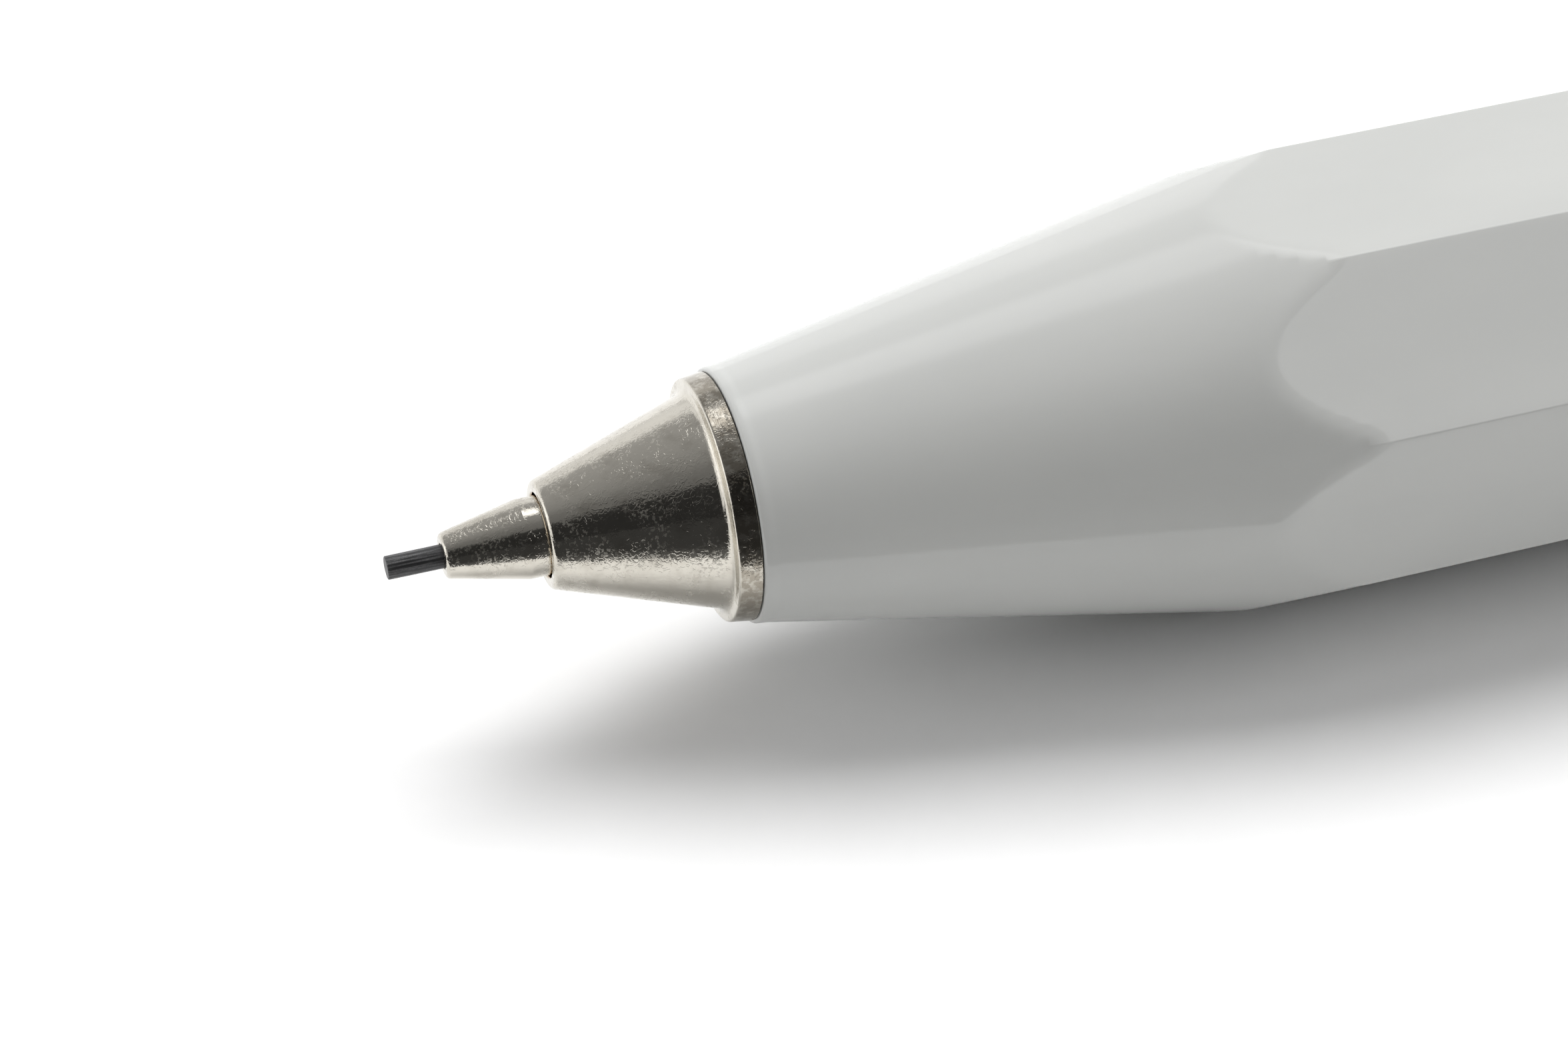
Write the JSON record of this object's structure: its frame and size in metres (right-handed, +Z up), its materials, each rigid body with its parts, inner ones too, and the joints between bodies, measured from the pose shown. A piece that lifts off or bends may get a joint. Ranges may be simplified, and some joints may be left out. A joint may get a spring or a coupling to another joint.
{
  "type": "lead holder",
  "caption": "Pocket lead holder with a faceted glossy barrel, a stepped metal nose, a clutch that feeds thin lead and a sprung push button over an eraser.",
  "frame": {"origin": "centre of the bounding box's bottom, on the barrel facet that the pencil lies on", "axes": "+X runs along the pencil from the lead's point to the push button; +Z points up from the facet it lies on"},
  "size_m": [0.1066, 0.013, 0.013],
  "materials": {
    "barrel_plastic": "high gloss moulded",
    "nickel_plate": "polished nickel plate with fine pits",
    "brass": "turned",
    "black_rubber": "matt",
    "spring_steel": "drawn wire",
    "black_plastic": "satin",
    "graphite": "extruded, slightly lustrous",
    "ferrule_aluminium": "drawn, satin",
    "eraser_rubber": "soft matt"
  },
  "bodies": {
    "barrel_body": {"barrel": "barrel_plastic", "barrel_insert": "brass", "mechanism_sleeve": "nickel_plate", "lead_guide": "nickel_plate", "lead_retainer": "black_rubber", "return_spring": "spring_steel"},
    "nose": {"nose_cone": "nickel_plate"},
    "feeder": {"lead_tube": "black_plastic", "tube_collar": "black_plastic", "chuck": "brass", "spare_leads": "graphite"},
    "button": {"push_button": "nickel_plate", "button_liner": "black_plastic"},
    "eraser_plug": {"eraser": "eraser_rubber", "eraser_ferrule": "ferrule_aluminium"},
    "clutch": {"clutch_ring": "brass"},
    "lead_in_use": {"lead": "graphite"},
    "jaw_a": {"jaw_1": "brass"},
    "jaw_b": {"jaw_2": "brass"},
    "jaw_c": {"jaw_3": "brass"}
  },
  "joints": [
    {"name": "button_press", "type": "slide", "parent": "barrel_body", "child": "feeder", "axis": [-1, 0, 0], "range_m": [0, 0.0032], "stiffness_N_per_m": 1200, "springref_m": -0.002, "deforming": ["return_spring"]},
    {"name": "nose_unscrew", "type": "slide", "parent": "barrel_body", "child": "nose", "axis": [-1, 0, 0], "range_m": [0, 0.018]},
    {"name": "button_pull_off", "type": "slide", "parent": "feeder", "child": "button", "axis": [1, 0, 0], "range_m": [0, 0.026]},
    {"name": "eraser_pull_out", "type": "slide", "parent": "feeder", "child": "eraser_plug", "axis": [1, 0, 0], "range_m": [0, 0.0078]},
    {"name": "clutch_ring_slide", "type": "slide", "parent": "barrel_body", "child": "clutch", "axis": [-1, 0, 0], "range_m": [0, 0.0008]},
    {"name": "lead_feed", "type": "slide", "parent": "barrel_body", "child": "lead_in_use", "axis": [-1, 0, 0], "range_m": [0, 0.0008]},
    {"name": "jaw_a_open", "type": "hinge", "parent": "feeder", "child": "jaw_a", "pos_m": [-0.0355, 0, 0.00714], "axis": [0, 1, 0], "range_deg": [0, 1.1]},
    {"name": "jaw_b_open", "type": "hinge", "parent": "feeder", "child": "jaw_b", "pos_m": [-0.0355, -0.00055, 0.00618], "axis": [0, -0.5, 0.866], "range_deg": [0, 1.1]},
    {"name": "jaw_c_open", "type": "hinge", "parent": "feeder", "child": "jaw_c", "pos_m": [-0.0355, 0.00055, 0.00618], "axis": [0, -0.5, -0.866], "range_deg": [0, 1.1]}
  ],
  "couplings": [
    {"joint": "eraser_pull_out", "follows": "button_pull_off", "ratio": 0.3},
    {"joint": "clutch_ring_slide", "follows": "button_press", "ratio": 0.25},
    {"joint": "lead_feed", "follows": "button_press", "ratio": 0.25},
    {"joint": "jaw_a_open", "follows": "button_press", "rad_per_m": 5.999},
    {"joint": "jaw_b_open", "follows": "button_press", "rad_per_m": 5.999},
    {"joint": "jaw_c_open", "follows": "button_press", "rad_per_m": 5.999}
  ]
}
